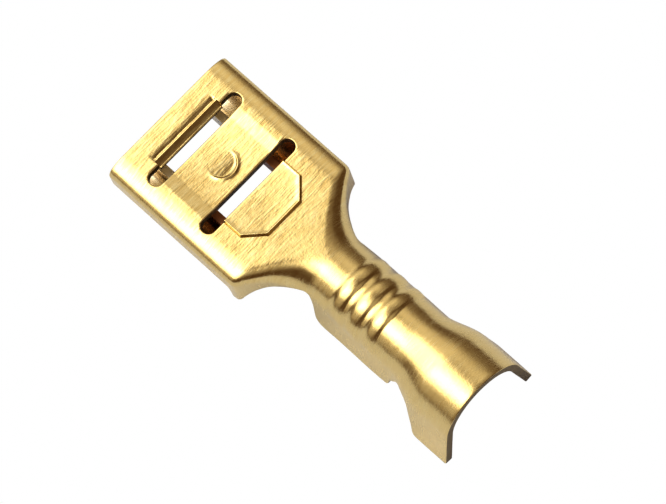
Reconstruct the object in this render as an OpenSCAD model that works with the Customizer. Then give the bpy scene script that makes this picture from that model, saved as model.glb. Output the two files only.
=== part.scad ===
// Female spade terminal for a 6.3 x 0.8 mm tab, open crimp barrels.
// Folded from one strip of 0.42 mm brass sheet. It lies on the rolled
// edges of its receptacle and on the tips of its insulation wings, with
// the outer face of its floor upwards. Millimetres.
//
// The blank is described in its own straight frame first: x runs from the
// mouth that takes the tab to the end that takes the wire, y runs across,
// and z = 0 is the outer face of the floor. laid_down() then tips it by the
// few degrees at which it rests.

/* [Sheet] */
// Thickness of the sheet
sheet_t = 0.42; // [0.3:0.02:0.5]
// Length from the mouth to the end of the insulation wings
total_l = 20.32; // [19.5:0.02:21.5]

/* [Receptacle] */
// Width over the rolled sides
recept_w = 7.8; // [7.2:0.1:8.2]
// Height over the rolls
recept_h = 3.0; // [2.8:0.1:3.4]
// Length of the rolled sides
recept_l = 7.4; // [7.2:0.05:7.6]
// Radius of the wide upper part of the bend between the floor and a side
bend_r = 1.75; // [1.5:0.05:2]
// Angle through which that upper part turns
bend_turn = 26; // [20:1:32]
// Radius of the tight lower part of the bend
bend_low_r = 0.5; // [0.46:0.02:0.7]
// Radius of the inner turn of each roll
roll_r = 0.8; // [0.7:0.05:0.9]
// Gap between the floor and the edges of the rolls
tab_gap = 0.82; // [0.75:0.01:0.95]

/* [Slots and bridge] */
// Front edge of the first slot
slot1_x = 1.6; // [1.4:0.05:1.8]
// Width of the first slot, along the terminal
slot1_w = 0.78; // [0.6:0.02:0.9]
// Front edge of the second slot
slot2_x = 5.09; // [5:0.01:5.4]
// Width of the second slot, along the terminal
slot2_w = 0.72; // [0.6:0.02:0.8]
// Length of both slots, across the terminal
slot_l = 5.94; // [5.4:0.02:6.2]
// Half width of the spring bridge between the slots
bridge_half = 1.9; // [1.6:0.05:2.1]
// Depth of the spring bridge below the floor
bridge_drop = 0.2; // [0.1:0.02:0.26]
// Width of the coined strip on the front bar
coin_w = 4.1; // [3.6:0.1:4.4]

/* [Catch and stop] */
// Radius of the half moon catch in the bridge
catch_r = 0.72; // [0.5:0.02:0.85]
// Depth of the catch at its steep side
catch_drop = 0.12; // [0.08:0.01:0.3]
// Width of the pressed stop behind the second slot
stop_w = 4.06; // [3.6:0.02:4.2]
// Length of the pressed stop
stop_l = 2.06; // [1.8:0.02:2.2]
// Length of its cut corners
stop_cut = 0.92; // [0.6:0.02:1]
// Height of the stop above the floor
stop_rise = 0.2; // [0.1:0.02:0.24]

/* [Wire barrel] */
// Outer radius of the wire barrel
wire_r = 1.84; // [1.7:0.02:1.9]
// Start of the wings of the wire barrel
wire_x0 = 11.3; // [11.2:0.05:11.5]
// End of the wings of the wire barrel
wire_x1 = 16.1; // [15.8:0.05:16.2]
// Depth of the tips of these wings below the floor
wire_tip = 3.1; // [2.8:0.1:3.4]
// Lean of all wings from the vertical
wing_lean = 11; // [6:1:14]
// Start of the first bead across the crown
bead_x0 = 11.95; // [11.9:0.01:12.2]
// Pitch of the beads
bead_pitch = 1.06; // [1.04:0.01:1.12]

/* [Insulation barrel] */
// Outer radius of the insulation barrel
ins_r = 2.4; // [2.2:0.02:2.5]
// Rise of its crown above the floor
ins_rise = 0.3; // [0.1:0.05:0.4]
// Depth of the tips of its wings below the floor
ins_tip = 4.48; // [4.2:0.02:4.8]
// Start of the full wings
ins_x0 = 18.15; // [18:0.05:18.4]

/* [Hidden] */
brass = [0.83, 0.66, 0.33];
$fn = 96;
e = 0.01;

side_r = recept_h / 2;              // outer radius of the lower turn
roll_y = recept_w / 2 - side_r;     // centre of the lower turn
// height and width taken up by the bend, and half width of the flat floor
bend_h = bend_r * (1 - cos(bend_turn)) + bend_low_r * cos(bend_turn);
bend_w = bend_r * sin(bend_turn) + bend_low_r * (1 - sin(bend_turn));
floor_y = recept_w / 2 - bend_w;
wire_z = -wire_r;                   // axis of the wire barrel
ins_z = ins_rise - ins_r;           // axis of the insulation barrel
slot_half = slot_l / 2;
slot1_mid = slot1_x + slot1_w / 2;
slot2_mid = slot2_x + slot2_w / 2;

// Angle at which the part lies, on the mouth end of the rolls and on the
// front corners of the insulation wings
lie = atan((ins_tip - recept_h) / ins_x0);
mid_x = (total_l * cos(lie) + ins_tip * sin(lie)) / 2;

// Extrudes a y-z section along x, from x0 to x1
module along(x0, x1) {
    translate([x0, 0, 0]) rotate([90, 0, 90]) linear_extrude(x1 - x0) children();
}

// Quarter of a ring of the sheet, about [y, z], in the quadrant [sy, sz]
module quarter(y, z, r, sy, sz) {
    translate([y, z]) intersection() {
        difference() {
            circle(r);
            circle(r - sheet_t);
        }
        translate([sy > 0 ? 0 : -r, sz > 0 ? 0 : -r]) square([r, r]);
    }
}

// Part of a ring of the sheet, turned down from the angle a to the angle b
module arc(y, z, r, a, b) {
    translate([y, z]) intersection() {
        difference() {
            circle(r);
            circle(r - sheet_t);
        }
        polygon([[0, 0], 2 * r * [sin(a), cos(a)], 2 * r * [sin((a + b) / 2), cos((a + b) / 2)],
                 2 * r * [sin(b), cos(b)]]);
    }
}

// One rolled side: two-part bend, wall, lower turn, inner turn and free edge
module rolled_side() {
    arc(floor_y, -bend_r, bend_r, 0, bend_turn + 0.5);
    arc(recept_w / 2 - bend_low_r, -bend_h, bend_low_r, bend_turn - 0.5, 90);
    translate([recept_w / 2 - sheet_t, -side_r]) square([sheet_t, side_r - bend_h]);
    quarter(roll_y, -side_r, side_r, 1, -1);
    quarter(roll_y, roll_r - recept_h, roll_r, -1, -1);
    translate([roll_y - roll_r, roll_r - recept_h])
        square([sheet_t, recept_h - roll_r - sheet_t - tab_gap]);
}

// Section of the receptacle, with its floor pressed in by drop
module receptacle_section(drop) {
    rolled_side();
    mirror([1, 0]) rolled_side();
    y0 = bridge_half;
    y1 = bridge_half + 0.5;
    y2 = floor_y;
    polygon([[-y2, 0], [-y1, 0], [-y0, -drop], [y0, -drop], [y1, 0], [y2, 0],
             [y2, -sheet_t], [y1, -sheet_t], [y0, -drop - sheet_t],
             [-y0, -drop - sheet_t], [-y1, -sheet_t], [-y2, -sheet_t]]);
}

// Round-ended slot across the floor
module slot(x, w) {
    r = w / 2;
    for (s = [-1, 1])
        translate([x + r, s * (slot_half - r), -0.85]) cylinder(r = r, h = 1.2);
    translate([x, -(slot_half - r), -0.85]) cube([w, 2 * (slot_half - r), 1.2]);
}

// Bevel coined along the rear edge of the front bar, down to half the sheet
module coined_edge() {
    translate([slot1_x - 0.2, -coin_w / 2, 0.03]) rotate([0, 48, 0])
        cube([0.6, coin_w, 0.4]);
}

// Half moon catch: a pocket that deepens towards its steep rear side
module catch_pocket(r, drop) {
    a = atan(drop / (2 * r - 0.12));
    intersection() {
        translate([catch_x, 0, -2]) cylinder(r = r, h = 3);
        translate([catch_x - r + 0.12, -2, -bridge_drop]) rotate([0, a, 0])
            translate([-0.5, 0, 0]) cube([4, 4, 2]);
    }
}

module catch_bulge(r, drop) {
    a = atan(drop / (2 * catch_r));
    intersection() {
        translate([catch_x, 0, -2]) cylinder(r = r, h = 2);
        translate([catch_x - r, -2, -bridge_drop - 0.05]) rotate([0, a, 0])
            translate([0, 0, -sheet_t + 0.1]) cube([4, 4, sheet_t - 0.1]);
    }
}
catch_x = (slot1_x + slot1_w + slot2_x) / 2 + 0.02;

// Outline of the pressed stop, grown by g
module stop_outline(g) {
    x0 = slot2_x + slot2_w - 0.05;
    x1 = slot2_x + slot2_w + stop_l + g;
    y = stop_w / 2 + g;
    c = stop_cut + g * 0.4;
    polygon([[x0, -y], [x1 - c, -y], [x1, -y + c], [x1, y - c], [x1 - c, y], [x0, y]]);
}

module receptacle() {
    difference() {
        union() {
            along(0, slot1_mid) receptacle_section(0);
            along(slot1_mid, slot2_mid) receptacle_section(bridge_drop);
            along(slot2_mid, recept_l) receptacle_section(0);
            catch_bulge(catch_r + 0.14, catch_drop);
            // stop, half sheared out of the floor
            translate([0, 0, stop_rise - sheet_t + 0.02])
                linear_extrude(sheet_t - 0.02) stop_outline(0);
        }
        slot(slot1_x, slot1_w);
        slot(slot2_x, slot2_w);
        coined_edge();
        catch_pocket(catch_r, catch_drop);
        translate([0, 0, -sheet_t - 0.1])
            linear_extrude(stop_rise + 0.1) stop_outline(-0.04);
    }
}

// Section of an open barrel: crown arc of radius r about height zc, and two
// leaning wings whose tips lie at depth tip
module barrel_section(r, zc, tip) {
    l = (tip + zc + r * sin(wing_lean)) / cos(wing_lean) - sheet_t * tan(wing_lean);
    translate([0, zc]) {
        difference() {
            circle(r);
            circle(r - sheet_t);
            rotate(wing_lean) translate([0, -2 * r]) square([2 * r, 2 * r]);
            mirror([1, 0]) rotate(wing_lean) translate([0, -2 * r]) square([2 * r, 2 * r]);
            translate([-r, -2 * r]) square([2 * r, 2 * r]);
        }
        for (m = [0, 1]) mirror([m, 0])
            rotate(wing_lean) translate([r - sheet_t, -l]) square([sheet_t, l + e]);
    }
}

// Rounds the lower corner of a wing that starts at x and ends at depth tip
module corner_cut(x, tip, r, side) {
    translate([x, 0, -tip]) difference() {
        translate([side > 0 ? -1 : -r, -4, -1]) cube([r + 1, 8, r + 1]);
        translate([side * r, 0, r]) rotate([90, 0, 0]) cylinder(r = r, h = 10, center = true);
    }
}

// Flat-topped bead raised across the crown, lower down the sides
module bead(x) {
    r = wire_r - 0.06;
    difference() {
        translate([x, 0, wire_z + 0.07]) rotate([0, 90, 0]) rotate_extrude()
            polygon([[r - 0.2, 0.02], [r, 0.02], [r + 0.085, 0.2], [r + 0.11, 0.46],
                     [r + 0.085, 0.76], [r, 0.9], [r - 0.2, 0.9]]);
        translate([x - 1, 0, wire_z]) rotate([0, 90, 0])
            cylinder(r = wire_r - sheet_t / 2, h = 3);
        translate([x - 1, -4, wire_z - 4.15]) cube([3, 8, 4]);
    }
}

module wire_barrel() {
    difference() {
        along(wire_x0, wire_x1) barrel_section(wire_r, wire_z, wire_tip);
        corner_cut(wire_x0, wire_tip, 0.35, 1);
        corner_cut(wire_x1, wire_tip, 0.15, -1);
    }
    for (i = [0:2]) bead(bead_x0 + i * bead_pitch);
}

module insulation_barrel() {
    difference() {
        along(ins_x0, total_l) barrel_section(ins_r, ins_z, ins_tip);
        corner_cut(ins_x0, ins_tip, 0.12, 1);
    }
}

// ---- The two blended stretches, lofted from sections that follow a rule ----

function ease(u) = let (v = min(1, max(0, u))) v * v * (3 - 2 * v);
function mix(a, b, u) = a + (b - a) * u;

// A section is [crown height, pieces]. The pieces follow the sheet from the
// middle of the crown to its edge: [0, length] is straight, [radius, angle]
// turns down. Each piece is cut into its own number of steps.
steps = [3, 4, 6, 2, 4, 1];
first = [0, 3, 7, 13, 15, 19, 20];
n_half = 20;

// Point and direction after the share f of one piece
function go(at, p, f) =
    p[0] == 0 ? [at[0] + f * p[1] * cos(at[2]), at[1] - f * p[1] * sin(at[2]), at[2]] :
    let (a = at[2] + f * p[1])
    [at[0] + p[0] * (sin(a) - sin(at[2])), at[1] + p[0] * (cos(a) - cos(at[2])), a];
function after(s, n) = n == 0 ? [0, s[0], 0] : go(after(s, n - 1), s[1][n - 1], 1);
function half_point(s, k) =
    let (i = min(5, len([for (q = first) if (q <= k) q]) - 1))
    go(after(s, i), s[1][i], (k - first[i]) / steps[i]);

// One ring of the loft: the outer line from left to right, and the inner
// line back. skin keeps the ring inside the walls that it joins.
skin = 0.02;
skin_in = 0.06;
function ring(x, s) = concat(
    [for (k = [-n_half:n_half])
        let (p = half_point(s, abs(k)), m = k < 0 ? -1 : 1)
        [x, m * (p[0] - skin * sin(p[2])), p[1] - skin * cos(p[2])]],
    [for (k = [n_half:-1:-n_half])
        let (p = half_point(s, abs(k)), m = k < 0 ? -1 : 1, d = sheet_t - skin_in)
        [x, m * (p[0] - d * sin(p[2])), p[1] - d * cos(p[2])]]);

module loft(xs, ss) {
    n = 2 * (2 * n_half + 1);
    q = len(xs);
    pts = [for (i = [0:q - 1]) each ring(xs[i], ss[i])];
    sides = [for (i = [0:q - 2], k = [0:n - 1])
        let (a = i * n + k, b = i * n + (k + 1) % n) each
        [[a, b, b + n], [a, b + n, a + n]]];
    caps = [for (k = [0:2 * n_half - 1])
        let (o = k, p = k + 1, r = n - 2 - k, t = n - 1 - k, z = (q - 1) * n) each
        [[p, o, t], [p, t, r], [o + z, p + z, r + z], [o + z, r + z, t + z]]];
    polyhedron(points = pts, faces = concat(sides, caps));
}

// Neck: the rolls open into upright walls, the floor narrows to the wire
// barrel, and its edge rises to the level of the widest point.
// Pairs of x and half width
neck_half = [[7.1, 3.9], [7.9, 3.9], [8.15, 3.87], [8.3, 3.79], [8.45, 3.61],
             [8.6, 3.38], [8.75, 3.17], [8.9, 2.98], [9.1, 2.74], [9.35, 2.49],
             [9.6, 2.3], [9.9, 2.12], [10.2, 2], [10.6, 1.91], [11, 1.86],
             [11.3, 1.84], [11.6, 1.84]];
neck_x = [7.1, 7.3, 7.5, 7.7, 7.9, 8.15, 8.3, 8.45, 8.6, 8.75, 8.9, 9.1, 9.35, 9.6, 9.9,
          10.2, 10.6, 10.9, 11.05, 11.2, 11.3, 11.45];
// Pairs of x and depth of the sheet's edge below the floor
neck_edge = [[7.9, 2.68], [8.15, 2.58], [8.3, 2.42], [8.45, 2.16], [8.6, 1.92], [8.75, 1.72],
             [9, 1.54], [9.35, 1.42], [10, 1.27], [10.6, 1.17], [10.9, 1.24], [11.05, 1.5],
             [11.2, 2.2], [11.3, 2.5], [11.45, 2.5]];
function neck_section(x) =
    let (u = ease((x - 8.6) / 2.4), w = lookup(x, neck_half),
         r = mix(bend_r, wire_r, u), q = mix(bend_low_r, wire_r, u),
         f = min(1, w / (r * sin(bend_turn) + q * (1 - sin(bend_turn)))),
         ra = r * f, rb = q * f,
         b = 84 * (1 - ease((x - 7) / 1)),
         tip = lookup(x, neck_edge),
         high = ra * (1 - cos(bend_turn)) + rb * cos(bend_turn),
         a = min(mix(90, 90 - wing_lean, ease((x - 9.8) / 1.4)),
                 x < 8.5 ? 90 : acos(max(-0.2, min(1, (high - tip) / rb)))),
         low = x < 7.9 ? side_r - bend_h + (tip - side_r) * (1 - b / 84) :
             max(0.04, (tip - high + rb * cos(a)) / sin(a)))
    [-0.004, [[0, max(0.02, w - ra * sin(bend_turn) - rb * (1 - sin(bend_turn)))],
              [ra - 0.03, bend_turn], [rb - 0.03, a - bend_turn], [0, low],
              [side_r - 0.02, max(b, 1)], [0, 0.03]]];

// Bell between the barrels: the crown widens and rises, and the edge drops
// from the notch to the tips of the insulation wings
bell_x = [15.8, 16.08, 16.2, 16.4, 16.6, 16.75, 16.9, 17.2, 17.5, 17.65, 17.8, 17.95, 18.1, 18.25];
// Pairs of x and depth of the sheet's edge below the floor
bell_edge = [[15.8, 2.6], [16.08, 2.6], [16.2, 2.45], [16.4, 2.2], [16.6, 1.9], [16.75, 1.75],
             [16.9, 1.78], [17.2, 1.92], [17.5, 2.1], [17.65, 2.36], [17.8, 2.85], [17.95, 3.4],
             [18.1, 4], [18.25, 4.2]];
function bell_section(x) =
    let (u = ease((x - 16) / 2.15), r = mix(wire_r, ins_r, u) - 0.03, q = 90 - wing_lean,
         top = mix(0, ins_rise, u) - 0.004,
         tip = lookup(x, bell_edge) + (x > 18 ? ins_tip - 4.48 : 0))
    [top, [[0, 0.02], [r, bend_turn], [r, q - bend_turn],
           [0, max(0.03, (tip + top - r * (1 - cos(q)) - 0.05) / sin(q))], [1, 1], [0, 0.01]]];

// The whole blank, folded, in its own straight frame
module folded_blank() {
    receptacle();
    loft(neck_x, [for (x = neck_x) neck_section(x)]);
    wire_barrel();
    loft(bell_x, [for (x = bell_x) bell_section(x)]);
    insulation_barrel();
}

module laid_down() {
    translate([-mid_x, 0, recept_h * cos(lie)]) rotate([0, -lie, 0]) children();
}

module terminal() {
    color(brass) laid_down() folded_blank();
}

terminal();
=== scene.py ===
import math

import bpy
import numpy as np
from mathutils import Matrix, Vector
from mathutils.geometry import delaunay_2d_cdt
from mathutils.kdtree import KDTree


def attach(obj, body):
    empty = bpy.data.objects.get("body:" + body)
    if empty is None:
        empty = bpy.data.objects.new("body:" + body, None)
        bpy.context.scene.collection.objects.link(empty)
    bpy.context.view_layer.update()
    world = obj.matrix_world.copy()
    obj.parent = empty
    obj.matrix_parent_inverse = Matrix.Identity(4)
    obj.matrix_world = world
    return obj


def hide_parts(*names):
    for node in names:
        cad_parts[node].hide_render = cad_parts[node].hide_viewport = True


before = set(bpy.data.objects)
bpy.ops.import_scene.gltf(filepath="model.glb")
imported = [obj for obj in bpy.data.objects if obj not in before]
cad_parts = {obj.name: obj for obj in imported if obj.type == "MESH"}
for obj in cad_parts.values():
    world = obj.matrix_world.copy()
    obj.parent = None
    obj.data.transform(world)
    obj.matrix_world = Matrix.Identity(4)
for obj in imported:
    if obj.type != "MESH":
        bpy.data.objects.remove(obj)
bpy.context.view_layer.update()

# ---------------------------------------------------------------- sizes, mm
# The folded blank in its own straight frame: x from the tab mouth to the
# wire end, y across, z = 0 the outer face of the floor. (x, s) are the
# places on the flat sheet: s is measured across, from the middle line.
T = 0.42            # sheet
LENGTH = 20.32
HALF_W = 3.899      # half width over the rolls
HEIGHT = 3.0        # height over the rolls
BEND_A = 1.75       # bend between floor and side: its wide upper part,
BEND_DEG = 26.0     # how far that part turns,
BEND_B = 0.504      # and its tight lower part
WALL = 0.87         # straight part of the side
SIDE_R = 1.5        # lower turn of the side
ROLL_R = 0.8        # inner turn of the roll
WIRE_R = 1.84
INS_R = 2.4
INS_RISE = 0.295
LEAN = 11.0
WIRE_TIP = 3.1
INS_TIP = 4.48
LIE = math.atan((INS_TIP - HEIGHT) / 18.15)
MID = (LENGTH * math.cos(LIE) + INS_TIP * math.sin(LIE)) / 2
EDGE_R = 0.045      # softened sheared edge


def ease(u):
    v = np.clip(u, 0.0, 1.0)
    return v * v * (3 - 2 * v)


def curve(xk, yk, x):
    """Monotone cubic through the points (xk, yk)."""
    xk, yk, x = np.asarray(xk, float), np.asarray(yk, float), np.asarray(x, float)
    h = np.diff(xk)
    d = np.diff(yk) / h
    m = np.zeros_like(xk)
    m[0], m[-1] = d[0], d[-1]
    for i in range(1, len(xk) - 1):
        if d[i - 1] * d[i] > 0:
            w1, w2 = 2 * h[i] + h[i - 1], h[i] + 2 * h[i - 1]
            m[i] = (w1 + w2) / (w1 / d[i - 1] + w2 / d[i])
    i = np.clip(np.searchsorted(xk, x) - 1, 0, len(h) - 1)
    t = np.clip((x - xk[i]) / h[i], 0, 1)
    return ((1 + 2 * t) * (1 - t) ** 2 * yk[i] + t * (1 - t) ** 2 * h[i] * m[i]
            + t * t * (3 - 2 * t) * yk[i + 1] + t * t * (t - 1) * h[i] * m[i + 1])


# ------------------------------------------------------- the folded surface
def half_width(x):
    w = curve([-1, 7.9, 8.12, 8.28, 8.43, 8.58, 8.75, 8.9, 9.1, 9.35, 9.6, 9.9, 10.2, 10.6, 11.0, 11.4, 12.6, 14.8,
               21],
              [HALF_W, HALF_W, 3.88, 3.80, 3.63, 3.40, 3.17, 2.98, 2.74, 2.49, 2.30, 2.12, 1.99, 1.89, 1.83, 1.81, 1.81,
               1.84, 1.84], x)
    return w + (INS_R - WIRE_R) * ease((x - 16.0) / 2.2)


SIN_B = math.sin(math.radians(BEND_DEG))


def bend_radii(x):
    """Radii of the wide and the tight part of the bend"""
    k, g = ease((x - 8.6) / 2.4), (INS_R - WIRE_R) * ease((x - 16.0) / 2.2)
    ra = BEND_A + (WIRE_R - BEND_A) * k + g
    rb = BEND_B + (WIRE_R - BEND_B) * k + g
    f = np.minimum(1, half_width(x) / (ra * SIN_B + rb * (1 - SIN_B)))
    return ra * f, rb * f


class Surface:
    """Outer face of the sheet, folded: tables over x and s."""

    def __init__(self):
        self.x = np.linspace(-0.3, 20.6, 837)
        self.s = np.linspace(0.0, 9.9, 991)
        ds = self.s[1]
        x, s = self.x[:, None], self.s[None, :]
        ra, rb = (v[:, None] for v in bend_radii(self.x))
        a = half_width(self.x)[:, None] - ra * SIN_B - rb * (1 - SIN_B)
        a1 = np.radians(90 - LEAN * ease((x - 9.8) / 1.4))
        a3 = np.radians(90 * (1 - ease((x - 6.5) / 1.3)))

        def step(u, w):
            return ease(u / w + 0.5)
        s0 = a + ra * math.radians(BEND_DEG)
        s1 = s0 + rb * (a1 - math.radians(BEND_DEG))
        s2 = s1 + WALL
        s3 = s2 + SIDE_R * a3
        soft = np.clip(2 * a, 0.002, 0.45)
        k = (step(s - a, soft) - step(s - s0, 0.24)) / ra + (step(s - s0, 0.24) - step(s - s1, 0.22)) / rb
        k = k + (step(s - s2, 0.25) - step(s - s3, 0.1)) / SIDE_R * (a3 > 0)
        roll = 1 - ease((x - 6.9) / 0.3)
        k = k + roll * (step(s - s3, 0.1) - step(s - s3 - ROLL_R * math.pi / 2, 0.1)) / ROLL_R
        th = np.concatenate([np.zeros((len(self.x), 1)),
                             np.cumsum(0.5 * (k[:, 1:] + k[:, :-1]) * ds, 1)], 1)
        c, n = np.cos(th), np.sin(th)
        y = np.concatenate([np.zeros((len(self.x), 1)), np.cumsum(0.5 * (c[:, 1:] + c[:, :-1]) * ds, 1)], 1)
        z = np.concatenate([np.zeros((len(self.x), 1)), -np.cumsum(0.5 * (n[:, 1:] + n[:, :-1]) * ds, 1)], 1)
        z = z + (INS_RISE * ease((self.x - 16.0) / 2.4))[:, None]
        self.p = np.stack([np.broadcast_to(x, y.shape), y, z], -1)
        dx = np.gradient(self.p, self.x, axis=0)
        dsv = np.gradient(self.p, self.s, axis=1)
        nn = np.cross(dx, dsv)
        nn[:, 0, 1] = 0
        self.n = nn / np.linalg.norm(nn, axis=-1, keepdims=True)

    def _get(self, table, x, q):
        fx = np.clip((x - self.x[0]) / (self.x[1] - self.x[0]), 0, len(self.x) - 1.001)
        fs = np.clip(q / self.s[1], 0, len(self.s) - 1.001)
        i, j = fx.astype(int), fs.astype(int)
        u, v = (fx - i)[:, None], (fs - j)[:, None]
        return (table[i, j] * (1 - u) * (1 - v) + table[i + 1, j] * u * (1 - v)
                + table[i, j + 1] * (1 - u) * v + table[i + 1, j + 1] * u * v)

    def at(self, x, s):
        """(points, outward normals) at places of the sheet"""
        flip = np.where(s < 0, -1.0, 1.0)
        p, n = self._get(self.p, x, abs(s)), self._get(self.n, x, abs(s))
        p[:, 0] = x
        p[:, 1] *= flip
        n[:, 1] *= flip
        return p, n / np.linalg.norm(n, axis=1, keepdims=True)

    def s_at_depth(self, x, depth):
        """s where the face reaches this depth below the floor, going down"""
        i = int(np.clip(round((x - self.x[0]) / (self.x[1] - self.x[0])), 0, len(self.x) - 1))
        z = self.p[i, :, 2]
        j = int(np.argmin(np.where(self.s < 7.38, z, 9)))
        return float(np.interp(depth, -z[:j + 1], self.s[:j + 1]))


surf = Surface()

# ------------------------------------------------------------ pressed forms
SLOT1 = (1.60, 2.38, 2.95)     # from x, to x, half length
SLOT2 = (5.09, 5.87, 2.98)
COIN_HALF = 2.05
COIN_END = 1.70
CATCH = (3.75, 0.72, 0.05)    # centre x, radius, depth
STOP = (7.93, 2.03, 7.01, 1.09)  # end x, half width, chamfer from x, to y
BEADS = ((11.95, 12.87), (13.0, 13.95), (14.08, 15.0))


def stop_distance(x, a):
    """How far outside the stop's outline, negative inside."""
    ex, hy, cx, cy = STOP
    nx, ny = hy - cy, ex - cx
    l = math.hypot(nx, ny)
    return np.maximum(np.maximum(x - ex, a - hy), ((x - cx) * nx + (a - hy) * ny) / l)


def profile(u, w):
    """0 at u = 0 to 1 at u = w, with slightly rounded ends"""
    return ease(np.clip(u / w, 0, 1))


def catch_lip(w):
    """Where the catch's wall leans back: most at 14 degrees from +X"""
    return np.cos(np.radians(np.clip((w - 14) * 90 / 58, -90, 90))) ** 0.8


def forms(x, s):
    """How far the sheet is pressed out, along its normal"""
    a = abs(s)
    d = np.zeros_like(x)
    on = (x > 1.98) & (x < 5.5)
    u = np.clip((2.5 - a) / 0.6, 0, 1)
    dish = 0.03 * np.clip(1 - (a / 1.9) ** 2, 0, 1)
    d -= np.where(on, 0.07 * u ** 1.1 + dish, 0)
    # catch
    cx, cr, cd = CATCH
    rr = np.hypot(x - cx, s)
    ramp = np.clip((x - cx + cr * 0.95) / (cr * 1.75), 0, 1) ** 2.4
    w = 0.06 + 0.13 * catch_lip(np.degrees(np.arctan2(s, x - cx)))
    d -= cd * ramp * profile(cr - rr, w)
    rim = np.clip((x - cx + 0.1) / 0.4, 0, 1)
    d += 0.035 * rim * np.exp(-((rr - cr - 0.03) / 0.05) ** 2)
    # stop behind the second slot
    g = -stop_distance(x, a)
    near = (x > 5.4) & (x < 8.4)
    d += np.where(near, 0.17 * profile(g, 0.075), 0)
    d += np.where(near, 0.028 * np.exp(-((g - 0.10) / 0.05) ** 2), 0)
    d -= np.where(near & (g > 0), 0.03 * np.clip(1 - (a / 2.03) ** 2, 0, 1) * np.clip(g / 0.3, 0, 1), 0)
    # beads across the crown of the wire barrel
    q = np.degrees(s / WIRE_R)
    fade = 1 - ease((np.where(q > 0, q - 68, -q - 52) / 36))
    for b0, b1 in BEADS:
        # a long rise, a top that sinks a little, and a short fall
        d += curve([-1, 0, 0.06, 0.32, 0.42, 0.76, 0.91, 3], [0, 0, 0.008, 0.086, 0.1, 0.072, 0, 0],
                   np.clip((x - b0) / (b1 - b0) * 0.92, -0.9, 2.9)) * fade
    return d


def coin(x, s):
    """The coined edge of the front bar, pressed into the outer face only"""
    a = abs(s)
    side = profile(COIN_HALF + 0.01 - a, 0.035)
    dip = 0.042 * np.clip((x - 0.85) / 0.39, 0, 1) ** 2.2
    crest = -0.026 * profile(x - 1.24, 0.07)
    bevel = 0.27 * np.clip((x - 1.345) / 0.25, 0, 1)
    return np.where(x < 2.0, (dip + crest + bevel) * side, 0)


def waves(x, s):
    """Slight unevenness of the worked sheet, never outwards"""
    w = (np.sin(1.9 * x + 0.6 * s + 0.4) * np.sin(1.3 * s - 0.5 * x + 1.1)
         + 0.6 * np.sin(3.1 * x - 1.7 * s + 2.0) + 0.5 * np.sin(0.8 * x + 3.3 * s))
    k = 0.0016 + 0.0022 * ease((x - 8.6) / 2.5)
    return k * (w - 2.1)


# ----------------------------------------------------------------- outlines
def rounded(points, step=0.085):
    """A closed line through (x, s, radius) corners, evenly cut."""
    out = []
    n = len(points)
    P = [np.array(p[:2], float) for p in points]
    ends = []
    for i in range(n):
        a, b, c = P[i - 1], P[i], P[(i + 1) % n]
        r = points[i][2]
        if r <= 0:
            ends.append((b, b, None))
            continue
        u, v = (a - b) / np.linalg.norm(a - b), (c - b) / np.linalg.norm(c - b)
        h = math.acos(np.clip(u @ v, -1, 1)) / 2
        t = r / math.tan(h)
        m = (u + v) / np.linalg.norm(u + v)
        ends.append((b + u * t, b + v * t, b + m * r / math.sin(h)))
    for i in range(n):
        p, q, c = ends[i]
        if c is None:
            out.append(p)
        else:
            a0 = math.atan2(*(p - c)[::-1])
            a1 = math.atan2(*(q - c)[::-1])
            da = (a1 - a0 + math.pi) % (2 * math.pi) - math.pi
            r = np.linalg.norm(p - c)
            k = max(2, int(math.ceil(max(abs(da) / math.radians(18), abs(da) * r / step))))
            for j in range(k + 1):
                w = a0 + da * j / k
                out.append(c + r * np.array([math.cos(w), math.sin(w)]))
        nxt = ends[(i + 1) % n][0]
        last = out[-1]
        l = np.linalg.norm(nxt - last)
        k = int(math.ceil(l / step))
        for j in range(1, k):
            out.append(last + (nxt - last) * j / k)
    keep = [out[0]]
    for p in out[1:]:
        if np.linalg.norm(p - keep[-1]) > 1e-4:
            keep.append(p)
    if np.linalg.norm(keep[0] - keep[-1]) < 1e-4:
        keep.pop()
    return np.array(keep)


def smooth_line(points, step=0.085):
    """An open line that passes smoothly through the points."""
    p = np.array(points, float)
    l = np.concatenate([[0], np.cumsum(np.linalg.norm(np.diff(p, axis=0), axis=1))])
    k = int(math.ceil(l[-1] / step))
    t = np.linspace(0, l[-1], k + 1)
    res = np.zeros((len(t), 2))
    m = np.gradient(p, l, axis=0)
    i = np.clip(np.searchsorted(l, t) - 1, 0, len(l) - 2)
    h = (l[i + 1] - l[i])[:, None]
    u = ((t - l[i])[:, None]) / h
    res = ((1 + 2 * u) * (1 - u) ** 2 * p[i] + u * (1 - u) ** 2 * h * m[i]
           + u * u * (3 - 2 * u) * p[i + 1] + u * u * (u - 1) * h * m[i + 1])
    return res


# length of sheet over a full side, to the free edge of the roll
S_FREE = (HALF_W - BEND_A * SIN_B - BEND_B * (1 - SIN_B) + (BEND_A * BEND_DEG + BEND_B * (90 - BEND_DEG))
          * math.pi / 180 + WALL + (SIDE_R + ROLL_R) * math.pi / 2 + 0.98)
depth = surf.s_at_depth


def edge_line(fixed, deep):
    """A free edge: places given on the sheet, then places given by their depth"""
    return smooth_line(list(fixed) + [(x, depth(x, z)) for x, z in deep])


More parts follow.
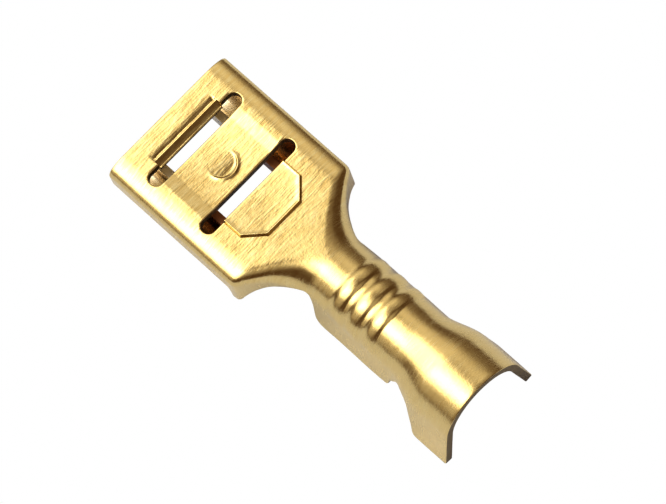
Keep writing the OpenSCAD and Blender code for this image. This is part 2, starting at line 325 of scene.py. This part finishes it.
# the inner corner of a leaning wing reaches down to INS_TIP, its outer one less
TIP_OUT = INS_TIP - T * math.sin(math.radians(LEAN))
ROLL_END = [(6.62, S_FREE), (6.86, S_FREE - 0.1), (6.98, S_FREE - 0.5), (7.03, 8.5), (7.1, 7.7),
            (7.2, 7.1), (7.36, 6.62), (7.6, 6.3)]
shoulder = edge_line(ROLL_END, [
    (7.85, 2.68), (8.1, 2.62), (8.28, 2.45), (8.44, 2.18), (8.6, 1.92), (8.78, 1.7), (9.0, 1.54), (9.17, 1.46),
    (9.56, 1.38), (10.0, 1.27), (10.4, 1.19), (10.72, 1.16), (10.9, 1.24), (11.03, 1.44), (11.12, 1.74),
    (11.19, 2.1), (11.26, 2.55), (11.37, 2.93), (11.59, 3.13), (11.95, 3.2)])
wing = edge_line([], [
    (13.5, 3.17), (15.75, 3.1), (15.96, 3.07), (16.05, 2.95), (16.1, 2.7), (16.2, 2.45), (16.4, 2.2), (16.6, 1.88),
    (16.75, 1.73), (16.88, 1.76), (17.0, 1.84), (17.2, 1.92), (17.4, 2.02), (17.54, 2.14), (17.65, 2.36),
    (17.77, 2.75), (17.88, 3.15), (17.98, 3.5), (18.06, 3.85), (18.13, 4.2), (18.21, 4.34), (18.34, TIP_OUT - 0.005),
    (18.6, TIP_OUT)])
side = [(0.0, S_FREE, 0.16)]
side += [(p[0], p[1], 0) for p in shoulder]
side += [(p[0], p[1], 0) for p in wing]
side += [(LENGTH, depth(20.2, TIP_OUT), 0.12)]
blank = [(x, s, r) for x, s, r in side]
blank = [(x, -s, r) for x, s, r in side] + blank[::-1]
outline = rounded(blank)


def area2(p):
    q = np.roll(p, -1, 0)
    return float(np.sum(p[:, 0] * q[:, 1] - q[:, 0] * p[:, 1]))


def slot_outline(x0, x1, half, lip=None):
    r = (x1 - x0) / 2 - 0.005
    pts = [(x1, -half, r), (x1, half, r), (x0, half, r)]
    if lip:
        pts += [(x0, COIN_HALF, 0.045), (lip, COIN_HALF, 0.045), (lip, -COIN_HALF, 0.045), (x0, -COIN_HALF, 0.045)]
    pts += [(x0, -half, r)]
    return rounded(pts, 0.075)


slot1 = slot_outline(*SLOT1, lip=COIN_END)
slot2 = slot_outline(*SLOT2)
if area2(outline) < 0:
    outline = outline[::-1]
slot1 = slot1 if area2(slot1) < 0 else slot1[::-1]
slot2 = slot2 if area2(slot2) < 0 else slot2[::-1]


def grow(loop, g):
    """Moves a closed loop to its left, into the sheet, by g"""
    t = np.roll(loop, -1, 0) - np.roll(loop, 1, 0)
    t /= np.linalg.norm(t, axis=1, keepdims=True)
    return loop + g * np.stack([-t[:, 1], t[:, 0]], 1)


loops = [grow(l, EDGE_R) for l in (outline, slot1, slot2)]


def inside(loop, pts):
    """Whether each point lies inside a closed loop."""
    res = np.zeros(len(pts), bool)
    a, b = loop, np.roll(loop, -1, 0)
    for k in range(0, len(pts), 4000):
        p = pts[k:k + 4000]
        c = ((a[None, :, 1] > p[:, None, 1]) != (b[None, :, 1] > p[:, None, 1]))
        with np.errstate(divide="ignore", invalid="ignore"):
            xi = (b[None, :, 0] - a[None, :, 0]) * (p[:, None, 1] - a[None, :, 1]) \
                / (b[None, :, 1] - a[None, :, 1]) + a[None, :, 0]
        res[k:k + 4000] = (np.sum(c & (p[:, None, 0] < xi), 1) % 2) == 1
    return res


# lines that the mesh must follow: foot and top of each pressed wall
lines = []
ex, hy, cx, cy = STOP
for g in (-0.03, 0.0, 0.025, 0.05, 0.075, 0.105, 0.14, 0.19):
    k = g * math.tan(math.radians(22.5))
    y0, x1 = hy - g, ex - g
    pts = [(5.7, -y0), (cx - k, -y0), (x1, -(cy - k)), (x1, cy - k), (cx - k, y0), (5.7, y0)]
    seg = []
    for p, q in zip(pts[:-1], pts[1:]):
        p, q = np.array(p), np.array(q)
        n = int(math.ceil(np.linalg.norm(q - p) / 0.09))
        seg += [p + (q - p) * j / n for j in range(n)]
    seg.append(np.array(pts[-1]))
    lines.append((np.array(seg), False))
c0, cr, cd = CATCH
for rr in (cr + 0.09, cr + 0.05, cr + 0.02, cr, cr - 0.03, cr - 0.07, cr - 0.12, cr - 0.18, cr - 0.24):
    w = np.linspace(-math.radians(150), math.radians(150), 56)
    lines.append((np.stack([c0 + rr * np.cos(w), rr * np.sin(w)], 1), False))
for sg in (-1, 1):
    for y in (2.45, 1.9):
        for x0, x1 in ((2.2, 5.4),):
            xs = np.linspace(x0, x1, 34)
            lines.append((np.stack([xs, np.full_like(xs, sg * y)], 1), False))
    for y in (COIN_HALF + 0.01, COIN_HALF - 0.025):
        xs = np.array([0.85, 0.93, 1.01, 1.09, 1.17, 1.24, 1.31, 1.345, 1.42, 1.5, 1.58, 1.64, 1.72])
        lines.append((np.stack([xs, np.full_like(xs, sg * y)], 1), False))
for x in (0.9, 0.98, 1.06, 1.13, 1.19, 1.24, 1.275, 1.31, 1.345, 1.375, 1.45, 1.53, 1.61):
    ys = np.linspace(-COIN_HALF + 0.025, COIN_HALF - 0.025, 42)
    lines.append((np.stack([np.full_like(ys, x), ys], 1), False))

verts2, edges2 = [], []


def add_line(pts, closed):
    base = len(verts2)
    verts2.extend(pts.tolist())
    n = len(pts)
    edges2.extend((base + i, base + i + 1) for i in range(n - 1))
    if closed:
        edges2.append((base + n - 1, base))


for l in loops:
    add_line(l, True)
for l, closed in lines:
    add_line(l, closed)

# points between the lines
def ticks(spans):
    out = []
    for a, b, h in spans:
        n = max(1, int(round((b - a) / h)))
        out += [a + (b - a) * i / n for i in range(n)]
    return np.array(out)


gx = ticks([(0.05, 0.8, 0.115), (0.8, 1.8, 0.08), (1.8, 3.0, 0.1), (3.0, 4.7, 0.08), (4.7, 7.6, 0.1),
            (7.6, 11.6, 0.085), (11.6, 15.4, 0.052), (15.4, 18.6, 0.09), (18.6, 20.2, 0.11)])
gs = ticks([(0.05, 1.8, 0.09), (1.8, 2.5, 0.075), (2.5, 3.3, 0.08), (3.3, 4.4, 0.06), (4.4, 9.7, 0.1)])
gs = np.concatenate([-gs[::-1], gs])
gxx, gss = np.meshgrid(gx, gs, indexing="ij")
ix = np.broadcast_to(np.arange(len(gx))[:, None], gxx.shape)
thin = (gxx < 6.3) & (abs(gss) > 4.9) & (ix % 3 != 0)
grid = np.stack([gxx, gss], -1)[~thin]
h = np.where(grid[:, 0] > 11.6, 0.03, 0.04)
ok = inside(loops[0], grid) & ~inside(loops[1], grid) & ~inside(loops[2], grid)
grid, h = grid[ok], h[ok]
tree = KDTree(len(verts2))
for i, v in enumerate(verts2):
    tree.insert((v[0], v[1], 0.0), i)
tree.balance()
far = np.array([tree.find((p[0], p[1], 0.0))[2] for p in grid]) > h
verts2.extend(grid[far].tolist())

cv, ce, cf, _, _, _ = delaunay_2d_cdt([Vector(v) for v in verts2], edges2, [], 0, 1e-5)
P2 = np.array([(v[0], v[1]) for v in cv])
F = np.array([f for f in cf if len(f) == 3], int)
mid = P2[F].mean(1)
keep = inside(loops[0], mid) & ~inside(loops[1], mid) & ~inside(loops[2], mid)
F = F[keep]
e1, e2 = P2[F[:, 1]] - P2[F[:, 0]], P2[F[:, 2]] - P2[F[:, 0]]
cr2 = e1[:, 0] * e2[:, 1] - e1[:, 1] * e2[:, 0]
F = np.where((cr2 < 0)[:, None], F[:, ::-1], F)
F = F[abs(cr2) > 1e-9]
used = np.unique(F)
back = -np.ones(len(P2), int)
back[used] = np.arange(len(used))
P2, F = P2[used], back[F]

# border of the kept sheet, in order
und = {}
for f in F:
    for a, b in ((f[0], f[1]), (f[1], f[2]), (f[2], f[0])):
        und[(a, b)] = und.get((a, b), 0) + 1
nxt = {a: b for (a, b) in und if (b, a) not in und}
prv = {b: a for a, b in nxt.items()}
border = np.array(sorted(nxt))
bn = np.array([nxt[i] for i in border])
bp = np.array([prv[i] for i in border])
tan = P2[bn] - P2[bp]
tan /= np.linalg.norm(tan, axis=1, keepdims=True)
out2 = np.stack([tan[:, 1], -tan[:, 0]], 1)      # away from the sheet

# ------------------------------------------------------------ the solid mesh
X, S = P2[:, 0], P2[:, 1]
base, nrm = surf.at(X, S)
d_all = forms(X, S) + waves(X, S)
d_out = d_all - coin(X, S)
thick = np.clip(T - np.clip(coin(X, S) - 0.28, 0, 1), 0, T)
d_in = d_all - T - np.clip(coin(X, S) - 0.27, 0, 1) * 0.9
top = base + nrm * d_out[:, None]
low = base + nrm * d_in[:, None]

n0 = len(P2)
verts = [top, low]
bi = {int(v): i for i, v in enumerate(border)}
rows = []
th_b = (d_out - d_in)[border]
re = np.minimum(EDGE_R, th_b * 0.35)
steps = [(re * math.sin(a), re * (1 - math.cos(a))) for a in np.radians([30, 60, 90])]
steps += [(re, re + (th_b - 2 * re) * f) for f in (0.33, 0.67)]
steps += [(re * math.sin(a), th_b - re * (1 - math.cos(a))) for a in np.radians([90, 60, 30])]
for off, dep in steps:
    q = P2[border] + out2 * off[:, None]
    b, n = surf.at(q[:, 0], q[:, 1])
    rows.append(b + n * (d_out[border] - dep)[:, None])
verts += rows
V = np.concatenate(verts)
nb = len(border)
first = np.array([2 * n0 + k * nb for k in range(len(rows))])
faces = [tuple(f) for f in F] + [tuple(f[::-1] + n0) for f in F]
n_sheet = len(faces)
ring = [lambda i, k=k: k for k in range(0)]
chain = []
for j, v in enumerate(border):
    chain.append([int(v)] + [int(f0 + j) for f0 in first] + [int(v) + n0])
for j, v in enumerate(border):
    u, w = chain[j], chain[bi[nxt[int(v)]]]
    for k in range(len(u) - 1):
        faces.append((w[k], u[k], u[k + 1], w[k + 1]))

ct, st = math.cos(LIE), math.sin(LIE)


def to_row(p):
    """From the straight frame in mm to the row frame in metres"""
    p = np.asarray(p, float)
    return np.stack([p[..., 0] * ct - p[..., 2] * st - MID, p[..., 1],
                     p[..., 0] * st + p[..., 2] * ct + HEIGHT * ct], -1) / 1000


mesh = bpy.data.meshes.new("terminal_sheet")
mesh.from_pydata(to_row(V).tolist(), [], faces)
mesh.update()
uv = mesh.uv_layers.new(name="sheet")
flat = np.concatenate([P2, P2] + [P2[border] + out2 * o[:, None] for o, _ in steps])
flat = flat / 24.0 + np.array([0.05, 0.5])
li = np.zeros(len(mesh.loops), int)
mesh.loops.foreach_get("vertex_index", li)
uv.data.foreach_set("uv", flat[li].ravel())
mesh.polygons.foreach_set("use_smooth", np.ones(len(faces), bool))
mesh.set_sharp_from_angle(angle=math.radians(38))
piece = bpy.data.objects.new("terminal_sheet", mesh)
bpy.context.scene.collection.objects.link(piece)
print("mesh", len(V), "verts", len(F) * 2 + 2 * nb * (len(rows) + 1), "tris")

# ---------------------------------------------------------------- materials
def node(nt, kind, x=0, y=0, **kw):
    n = nt.nodes.new(kind)
    n.location = (x, y)
    for k, v in kw.items():
        setattr(n, k, v)
    return n


def noise(nt, vec, scale, detail=2.0, rough=0.5):
    n = node(nt, "ShaderNodeTexNoise", noise_dimensions="3D")
    n.inputs["Scale"].default_value = 1.0
    n.inputs["Detail"].default_value = detail
    n.inputs["Roughness"].default_value = rough
    m = node(nt, "ShaderNodeMapping")
    m.inputs["Scale"].default_value = scale
    nt.links.new(vec, m.inputs["Vector"])
    nt.links.new(m.outputs["Vector"], n.inputs["Vector"])
    return n.outputs["Fac"]


def math_node(nt, op, a, b=None, c=None, clamp=False):
    n = node(nt, "ShaderNodeMath", operation=op)
    n.use_clamp = clamp
    for i, v in enumerate((a, b, c)):
        if v is None:
            continue
        if isinstance(v, (int, float)):
            n.inputs[i].default_value = v
        else:
            nt.links.new(v, n.inputs[i])
    return n.outputs[0]


def remap(nt, v, a, b, c, d):
    n = node(nt, "ShaderNodeMapRange")
    n.inputs["From Min"].default_value = a
    n.inputs["From Max"].default_value = b
    n.inputs["To Min"].default_value = c
    n.inputs["To Max"].default_value = d
    nt.links.new(v, n.inputs["Value"])
    return n.outputs[0]


def brass(name, edge=False, inside=False):
    m = bpy.data.materials.new(name)
    m.use_nodes = True
    nt = m.node_tree
    bs = nt.nodes["Principled BSDF"]
    bs.inputs["Metallic"].default_value = 1.0
    uvn = node(nt, "ShaderNodeUVMap")
    uvn.uv_map = "sheet"
    vec = uvn.outputs["UV"]
    # 24 mm of sheet a unit: fine lines across the strip
    fine = noise(nt, vec, (24 * 11, 24 * 1.2, 1), 2.0, 0.5)
    mid_ = noise(nt, vec, (24 * 4.2, 24 * 0.8, 1), 3.0, 0.55)
    blot = noise(nt, vec, (24 * 0.9, 24 * 0.9, 1), 3.0, 0.6)
    lines_ = math_node(nt, "ADD", math_node(nt, "MULTIPLY", fine, 0.6), math_node(nt, "MULTIPLY", mid_, 0.4))
    place = node(nt, "ShaderNodeSeparateXYZ")
    nt.links.new(vec, place.inputs[0])
    # 0 on the flat of the receptacle, 1 on its bends and sides and on the barrels
    away = math_node(nt, "ABSOLUTE", math_node(nt, "SUBTRACT", place.outputs[1], 0.5))
    worked = math_node(nt, "MAXIMUM", remap(nt, place.outputs[0], 0.05 + 8.0 / 24, 0.05 + 10.2 / 24, 0.0, 1.0),
                       remap(nt, away, 2.9 / 24, 3.7 / 24, 0.0, 1.0))
    ramp = node(nt, "ShaderNodeValToRGB")
    # the rolling lines are worn off where the sheet was worked
    calm = math_node(nt, "MULTIPLY", math_node(nt, "SUBTRACT", lines_, 0.5), remap(nt, worked, 0, 1, 0.9, 0.3))
    nt.links.new(math_node(nt, "ADD", calm, 0.5), ramp.inputs["Fac"])
    if edge:
        # painted shade: the sheared edges are coloured much darker and greyer than the faces, on top of their rougher
        # finish set below
        cols = [(0.30, (0.22, 0.17, 0.10, 1)), (0.55, (0.36, 0.28, 0.17, 1)), (0.8, (0.50, 0.40, 0.25, 1))]
    else:
        cols = [(0.36, (0.77, 0.57, 0.24, 1)), (0.50, (0.88, 0.69, 0.33, 1)), (0.62, (0.95, 0.80, 0.44, 1))]
    el = ramp.color_ramp.elements
    el[0].position, el[0].color = cols[0]
    el[1].position, el[1].color = cols[2]
    e = el.new(cols[1][0])
    e.color = cols[1][1]
    # the insides of the rolls get painted light and shade instead of brass colour: a pale grey-beige painted reflection
    # near the mouth, a red-brown painted shade and inter-reflection farther in
    roll_light_and_shade = node(nt, "ShaderNodeMix", data_type="RGBA")
    roll_light_and_shade.inputs[6].default_value = (0.80, 0.70, 0.54, 1)
    roll_light_and_shade.inputs[7].default_value = (0.70, 0.33, 0.16, 1)
    deep = math_node(nt, "MULTIPLY", remap(nt, place.outputs[0], 0.05 + 3.2 / 24, 0.05 + 4.8 / 24, 0.0, 1.0),
                     remap(nt, place.outputs[0], 0.05 + 6.1 / 24, 0.05 + 6.7 / 24, 1.0, 0.0))
    nt.links.new(deep, roll_light_and_shade.inputs[0])
    # mixes the painted roll shade in: fully on the roll insides, and on the outer face where the sheet curls round into
    # the roll
    roll_shade_mix = node(nt, "ShaderNodeMix", data_type="RGBA")
    if inside:
        roll_shade_mix.inputs[0].default_value = 0.9
    else:
        nt.links.new(remap(nt, away, 7.4 / 24, 8.0 / 24, 0.0, 0.9), roll_shade_mix.inputs[0])
    nt.links.new(ramp.outputs["Color"], roll_shade_mix.inputs[6])
    nt.links.new(roll_light_and_shade.outputs[2], roll_shade_mix.inputs[7])
    nt.links.new(roll_shade_mix.outputs[2], bs.inputs["Base Color"])
    r = math_node(nt, "ADD", remap(nt, lines_, 0.3, 0.7, -0.05, 0.06),
                  remap(nt, blot, 0.3, 0.7, 0.42 if edge else 0.15, 0.55 if edge else 0.23))
    r = math_node(nt, "ADD", r, remap(nt, worked, 0, 1, 0.0, 0.055))
    nt.links.new(r, bs.inputs["Roughness"])
    bump = node(nt, "ShaderNodeBump")
    bump.inputs["Strength"].default_value = 0.9
    bump.inputs["Distance"].default_value = 0.00002
    grain = noise(nt, vec, (24 * 5, 24 * 4, 1), 3.0, 0.6)
    streak = math_node(nt, "MULTIPLY", lines_, remap(nt, worked, 0, 1, 0.55, 0.07))
    spots = math_node(nt, "MULTIPLY", grain, remap(nt, worked, 0, 1, 0.25, 0.3))
    peel = noise(nt, vec, (24 * 13, 24 * 10, 1), 2.0, 0.6)
    peel = math_node(nt, "MULTIPLY", peel, remap(nt, worked, 0, 1, 0.0, 0.16))
    nt.links.new(math_node(nt, "ADD", math_node(nt, "ADD", streak, spots), peel), bump.inputs["Height"])
    nt.links.new(bump.outputs["Normal"], bs.inputs["Normal"])
    return m


face_mat = brass("brass_sheet")
edge_mat = brass("brass_sheared_edge", edge=True)
mesh.materials.append(face_mat)
mesh.materials.append(edge_mat)
mesh.materials.append(brass("brass_inside_roll", inside=True))
idx = np.zeros(len(faces), int)
per = len(rows) + 1
wall_k = np.tile(np.arange(per), nb)
idx[n_sheet:] = ((wall_k >= 2) & (wall_k <= per - 2)).astype(int)
# inner faces of the sides and rolls take the material with the painted roll light and shade
idx[len(F):n_sheet] = np.where((abs(P2[F].mean(1)[:, 1]) > 4.4) & (P2[F].mean(1)[:, 0] < 7.3), 2, 0)
mesh.polygons.foreach_set("material_index", idx)

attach(piece, "root")
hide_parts("terminal")

# -------------------------------------------------------------------- stage
fm = bpy.data.meshes.new("stage_floor")
fm.from_pydata([(-0.6, -0.6, 0), (0.6, -0.6, 0), (0.6, 0.6, 0), (-0.6, 0.6, 0)], [], [(0, 1, 2, 3)])
floor = bpy.data.objects.new("stage_floor", fm)
bpy.context.scene.collection.objects.link(floor)
mt = bpy.data.materials.new("stage_white")
mt.use_nodes = True
ft = mt.node_tree
for n in list(ft.nodes):
    ft.nodes.remove(n)
lit = node(ft, "ShaderNodeBsdfDiffuse")
lit.inputs["Color"].default_value = (0.84, 0.88, 0.96, 1)
haze = node(ft, "ShaderNodeEmission")          # cool light of the room on the floor
haze.inputs["Color"].default_value = (0.15, 0.35, 1.0, 1)
haze.inputs["Strength"].default_value = 0.10
both = node(ft, "ShaderNodeAddShader")
glow = node(ft, "ShaderNodeEmission")
glow.inputs["Color"].default_value = (1, 1, 1, 1)
glow.inputs["Strength"].default_value = 1.0
lp = node(ft, "ShaderNodeLightPath")
mx = node(ft, "ShaderNodeMixShader")
fo = node(ft, "ShaderNodeOutputMaterial")
ft.links.new(lp.outputs["Is Camera Ray"], mx.inputs[0])
ft.links.new(lit.outputs[0], both.inputs[0])
ft.links.new(haze.outputs[0], both.inputs[1])
ft.links.new(both.outputs[0], mx.inputs[1])
ft.links.new(glow.outputs[0], mx.inputs[2])
ft.links.new(mx.outputs[0], fo.inputs[0])
fm.materials.append(mt)

# -------------------------------------------------------------------- light
world = bpy.data.worlds.new("studio")
bpy.context.scene.world = world
world.use_nodes = True
wt = world.node_tree
for n in list(wt.nodes):
    wt.nodes.remove(n)
tc = node(wt, "ShaderNodeTexCoord")


def panel(az, el, inner, outer, value):
    """A soft round panel of light: full inside inner degrees, gone at outer"""
    a, e = math.radians(az), math.radians(el)
    dp = node(wt, "ShaderNodeVectorMath", operation="DOT_PRODUCT")
    wt.links.new(tc.outputs["Generated"], dp.inputs[0])
    dp.inputs[1].default_value = (math.cos(a) * math.cos(e), math.sin(a) * math.cos(e), math.sin(e))
    mr = node(wt, "ShaderNodeMapRange", interpolation_type="SMOOTHSTEP")
    mr.inputs["From Min"].default_value = math.cos(math.radians(outer))
    mr.inputs["From Max"].default_value = math.cos(math.radians(inner))
    mr.inputs["To Min"].default_value = 0
    mr.inputs["To Max"].default_value = value
    wt.links.new(dp.outputs["Value"], mr.inputs["Value"])
    return mr.outputs[0]


PANELS = [(-152, 50, 17, 33, 2.4), (-108, 57, 8, 26, 1.7), (148, 43, 5, 32, 0.72), (-32, 65, 8, 30, 0.32),
          (-113, 23, 4, 22, 0.45), (179, 15, 4, 22, 0.6), (112, 26, 4, 22, 0.12), (108, 50, 4, 24, 0.25), (6, 51, 5, 30, 0.25)]
total = None
for l in PANELS:
    o = panel(*l)
    total = o if total is None else math_node(wt, "ADD", total, o)
dim = node(wt, "ShaderNodeBackground")          # the dim room round the panels
dim.inputs["Color"].default_value = (0.15, 0.095, 0.05, 1)
dim.inputs["Strength"].default_value = 1.0
soft = node(wt, "ShaderNodeBackground")
soft.inputs["Color"].default_value = (1, 1, 0.93, 1)
wt.links.new(total, soft.inputs["Strength"])
add = node(wt, "ShaderNodeAddShader")
wt.links.new(dim.outputs[0], add.inputs[0])
wt.links.new(soft.outputs[0], add.inputs[1])
plain = node(wt, "ShaderNodeBackground")
plain.inputs["Color"].default_value = (1, 1, 1, 1)
wlp = node(wt, "ShaderNodeLightPath")
wmx = node(wt, "ShaderNodeMixShader")
wt.links.new(wlp.outputs["Is Camera Ray"], wmx.inputs[0])
wt.links.new(add.outputs[0], wmx.inputs[1])
wt.links.new(plain.outputs[0], wmx.inputs[2])
wo = node(wt, "ShaderNodeOutputWorld")
wt.links.new(wmx.outputs[0], wo.inputs[0])
scene = bpy.context.scene
scene.view_settings.view_transform = "Standard"
scene.view_settings.gamma = 0.78

# ------------------------------------------------------------------- camera
CAM_R = Matrix(((0.706873, 0.693378, -0.139853), (-0.627935, 0.706149, 0.327188),
                (0.325621, -0.143462, 0.934553)))
CAM = dict(tx=321.7218, ty=258.2521, scale=21.6865, dist=213.3638, ref=(10.0, 0.0, -1.5))
R = CAM_R
x0 = (CAM["tx"] - 333) / CAM["scale"]
y0 = -(CAM["ty"] - 252) / CAM["scale"]
right, up, backv = (np.array(R[i]) for i in range(3))
pos = np.array(CAM["ref"]) - right * x0 - up * y0 + backv * CAM["dist"]
ends = to_row(np.array([pos, pos + right, pos + up, pos + backv]))
ax = [(ends[i] - ends[0]) * 1000 for i in (1, 2, 3)]
cd_ = bpy.data.cameras.new("camera")
cd_.sensor_fit = "HORIZONTAL"
cd_.sensor_width = 36
cd_.lens = 36 * CAM["scale"] * CAM["dist"] / 666
cd_.clip_start = 0.01
cd_.clip_end = 10
cam = bpy.data.objects.new("camera", cd_)
scene.collection.objects.link(cam)
M = Matrix.Identity(4)
for j in range(3):
    for i in range(3):
        M[i][j] = ax[j][i]
for i in range(3):
    M[i][3] = ends[0][i]
cam.matrix_world = M
scene.camera = cam
